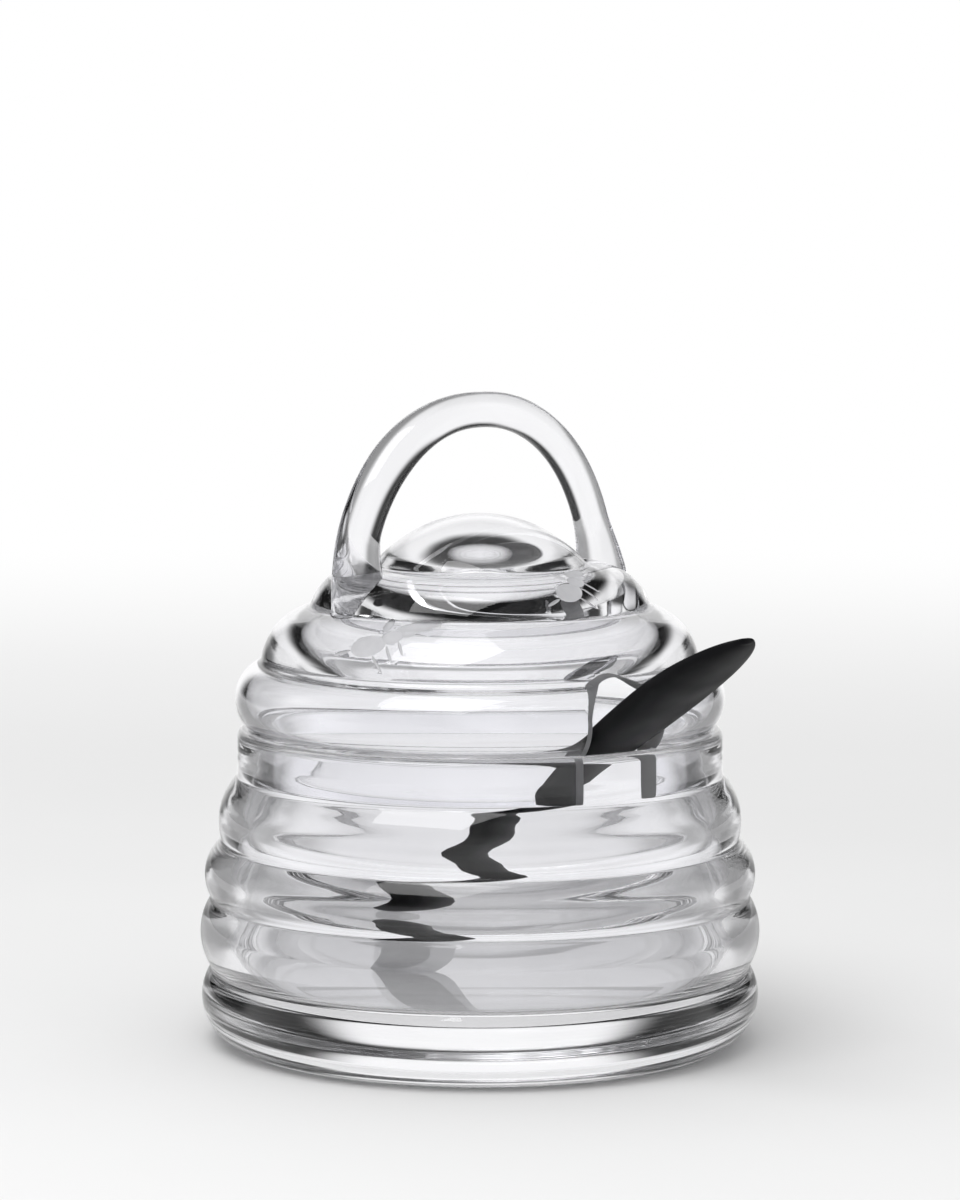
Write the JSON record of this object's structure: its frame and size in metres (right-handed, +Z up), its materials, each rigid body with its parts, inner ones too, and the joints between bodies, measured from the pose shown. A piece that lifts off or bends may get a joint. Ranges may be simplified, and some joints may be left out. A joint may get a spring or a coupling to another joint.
{
  "type": "honey pot",
  "caption": "Beehive-shaped clear glass honey pot with a ribbed body, a stepped lid with a loop handle, and a dark horn spoon that leans through a notch in the lid.",
  "frame": {"origin": "centre of the pot's flat base, on its axis", "axes": "+Z up along the pot's axis, +X towards the spoon notch, the loop handle spans Y"},
  "size_m": [0.1497, 0.1202, 0.1393],
  "materials": {
    "clear_glass": "clear polished blown glass",
    "horn": "dark buffed horn"
  },
  "bodies": {
    "pot": {"pot": "clear_glass"},
    "lid": {"lid": "clear_glass", "lid_handle": "clear_glass"},
    "spoon": {"spoon": "horn"}
  },
  "joints": [
    {"name": "lid_lift", "type": "slide", "parent": "pot", "child": "lid", "axis": [0, 0, 1], "range_m": [0, 0.12]},
    {"name": "spoon_slide", "type": "slide", "parent": "pot", "child": "spoon", "axis": [0.809, 0, 0.5878], "range_m": [0, 0.13]}
  ]
}
